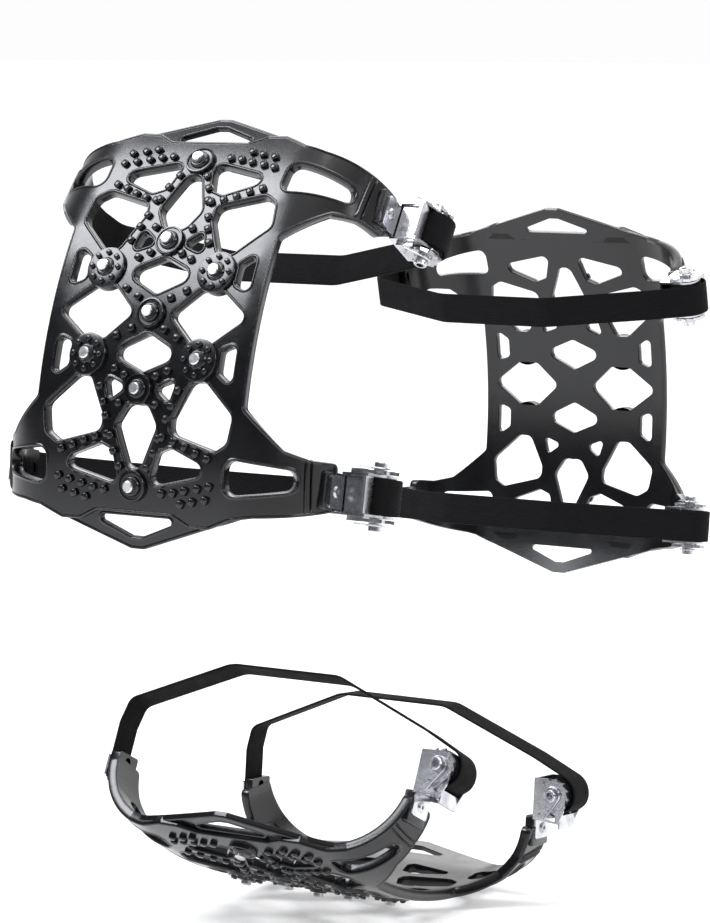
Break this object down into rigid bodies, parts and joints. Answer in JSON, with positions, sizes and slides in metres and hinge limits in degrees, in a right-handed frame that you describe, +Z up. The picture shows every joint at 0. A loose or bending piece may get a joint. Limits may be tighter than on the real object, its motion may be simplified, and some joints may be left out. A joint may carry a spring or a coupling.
{
  "type": "tire snow chains",
  "caption": "Studded plastic cross-mats for a car tyre, held by webbing straps through the wheel and tightened with ratchet buckles.",
  "frame": {"origin": "the wheel's centre", "axes": "+Y along the wheel's axis away from the buckle side, +Z up"},
  "size_m": [0.6722, 0.2878, 0.5845],
  "materials": {
    "moulded_mat": "semi-gloss moulded elastomer",
    "stud_steel": "machined",
    "zinc_plate": "zinc plated, satin",
    "rivet_steel": "plated",
    "spring_wire": "bright wire",
    "webbing": "woven polyester, matte"
  },
  "bodies": {
    "front_unit": {"front_tread_mat": "moulded_mat", "front_studs": "stud_steel", "front_upper_ratchet_frame": "zinc_plate", "front_upper_pawl_springs": "spring_wire", "front_upper_strap": "webbing", "front_lower_ratchet_frame": "zinc_plate", "front_lower_pawl_springs": "spring_wire", "front_lower_strap": "webbing", "front_frame_rivets": "rivet_steel", "front_strap_clamps": "zinc_plate", "front_clamp_rivets": "rivet_steel"},
    "front_upper_winder": {"front_upper_spool": "zinc_plate", "front_upper_ratchet_wheels": "zinc_plate", "front_upper_strap_roll": "webbing"},
    "front_upper_catch": {"front_upper_pawl": "zinc_plate"},
    "front_lower_winder": {"front_lower_spool": "zinc_plate", "front_lower_ratchet_wheels": "zinc_plate", "front_lower_strap_roll": "webbing"},
    "front_lower_catch": {"front_lower_pawl": "zinc_plate"},
    "bottom_unit": {"bottom_tread_mat": "moulded_mat", "bottom_studs": "stud_steel", "bottom_left_ratchet_frame": "zinc_plate", "bottom_left_pawl_springs": "spring_wire", "bottom_left_strap": "webbing", "bottom_right_ratchet_frame": "zinc_plate", "bottom_right_pawl_springs": "spring_wire", "bottom_right_strap": "webbing", "bottom_frame_rivets": "rivet_steel", "bottom_strap_clamps": "zinc_plate", "bottom_clamp_rivets": "rivet_steel"},
    "bottom_left_winder": {"bottom_left_spool": "zinc_plate", "bottom_left_ratchet_wheels": "zinc_plate", "bottom_left_strap_roll": "webbing"},
    "bottom_left_catch": {"bottom_left_pawl": "zinc_plate"},
    "bottom_right_winder": {"bottom_right_spool": "zinc_plate", "bottom_right_ratchet_wheels": "zinc_plate", "bottom_right_strap_roll": "webbing"},
    "bottom_right_catch": {"bottom_right_pawl": "zinc_plate"},
    "rear_unit": {"rear_tread_mat": "moulded_mat", "rear_studs": "stud_steel", "rear_lower_ratchet_frame": "zinc_plate", "rear_lower_pawl_springs": "spring_wire", "rear_lower_strap": "webbing", "rear_upper_ratchet_frame": "zinc_plate", "rear_upper_pawl_springs": "spring_wire", "rear_upper_strap": "webbing", "rear_frame_rivets": "rivet_steel", "rear_strap_clamps": "zinc_plate", "rear_clamp_rivets": "rivet_steel"},
    "rear_lower_winder": {"rear_lower_spool": "zinc_plate", "rear_lower_ratchet_wheels": "zinc_plate", "rear_lower_strap_roll": "webbing"},
    "rear_lower_catch": {"rear_lower_pawl": "zinc_plate"},
    "rear_upper_winder": {"rear_upper_spool": "zinc_plate", "rear_upper_ratchet_wheels": "zinc_plate", "rear_upper_strap_roll": "webbing"},
    "rear_upper_catch": {"rear_upper_pawl": "zinc_plate"}
  },
  "joints": [
    {"name": "front_upper_spool_turn", "type": "hinge", "parent": "front_unit", "child": "front_upper_winder", "pos_m": [-0.18406, -0.1432, 0.17275], "axis": [-0.5358, 0, -0.8443], "continuous": true},
    {"name": "front_upper_pawl_lift", "type": "hinge", "parent": "front_unit", "child": "front_upper_catch", "pos_m": [-0.1979, -0.1302, 0.18154], "axis": [-0.5358, 0, -0.8443], "range_deg": [0, 10], "stiffness_Nm_per_rad": 0.05, "springref_deg": -11.46},
    {"name": "front_lower_spool_turn", "type": "hinge", "parent": "front_unit", "child": "front_lower_winder", "pos_m": [-0.2524, -0.1432, 0.00359], "axis": [-0.2011, 0, -0.9796], "continuous": true},
    {"name": "front_lower_pawl_lift", "type": "hinge", "parent": "front_unit", "child": "front_lower_catch", "pos_m": [-0.26847, -0.1302, 0.00689], "axis": [-0.2011, 0, -0.9796], "range_deg": [0, 10], "stiffness_Nm_per_rad": 0.05, "springref_deg": -11.46},
    {"name": "bottom_left_spool_turn", "type": "hinge", "parent": "bottom_unit", "child": "bottom_left_winder", "pos_m": [-0.15256, -0.1432, -0.20111], "axis": [0.8957, 0, -0.4446], "continuous": true},
    {"name": "bottom_left_pawl_lift", "type": "hinge", "parent": "bottom_unit", "child": "bottom_left_catch", "pos_m": [-0.15985, -0.1302, -0.2158], "axis": [0.8957, 0, -0.4446], "range_deg": [0, 10], "stiffness_Nm_per_rad": 0.05, "springref_deg": -11.46},
    {"name": "bottom_right_spool_turn", "type": "hinge", "parent": "bottom_unit", "child": "bottom_right_winder", "pos_m": [0.02281, -0.1432, -0.25139], "axis": [0.9952, 0, -0.0976], "continuous": true},
    {"name": "bottom_right_pawl_lift", "type": "hinge", "parent": "bottom_unit", "child": "bottom_right_catch", "pos_m": [0.02121, -0.1302, -0.26771], "axis": [0.9952, 0, -0.0976], "range_deg": [0, 10], "stiffness_Nm_per_rad": 0.05, "springref_deg": -11.46},
    {"name": "bottom_unit_shift", "type": "hinge", "parent": "front_unit", "child": "bottom_unit", "pos_m": [0, 0, 0], "axis": [0, 1, 0], "range_deg": [-8, 8]},
    {"name": "rear_lower_spool_turn", "type": "hinge", "parent": "rear_unit", "child": "rear_lower_winder", "pos_m": [0.23982, -0.1432, -0.07878], "axis": [0.1288, 0, 0.9917], "continuous": true},
    {"name": "rear_lower_pawl_lift", "type": "hinge", "parent": "rear_unit", "child": "rear_lower_catch", "pos_m": [0.25608, -0.1302, -0.08089], "axis": [0.1288, 0, 0.9917], "range_deg": [0, 10], "stiffness_Nm_per_rad": 0.05, "springref_deg": -11.46},
    {"name": "rear_upper_spool_turn", "type": "hinge", "parent": "rear_unit", "child": "rear_upper_winder", "pos_m": [0.23027, -0.1432, 0.10341], "axis": [-0.2317, 0, 0.9728], "continuous": true},
    {"name": "rear_upper_pawl_lift", "type": "hinge", "parent": "rear_unit", "child": "rear_upper_catch", "pos_m": [0.24622, -0.1302, 0.10721], "axis": [-0.2317, 0, 0.9728], "range_deg": [0, 10], "stiffness_Nm_per_rad": 0.05, "springref_deg": -11.46},
    {"name": "rear_unit_shift", "type": "hinge", "parent": "front_unit", "child": "rear_unit", "pos_m": [0, 0, 0], "axis": [0, 1, 0], "range_deg": [-8, 8]}
  ]
}
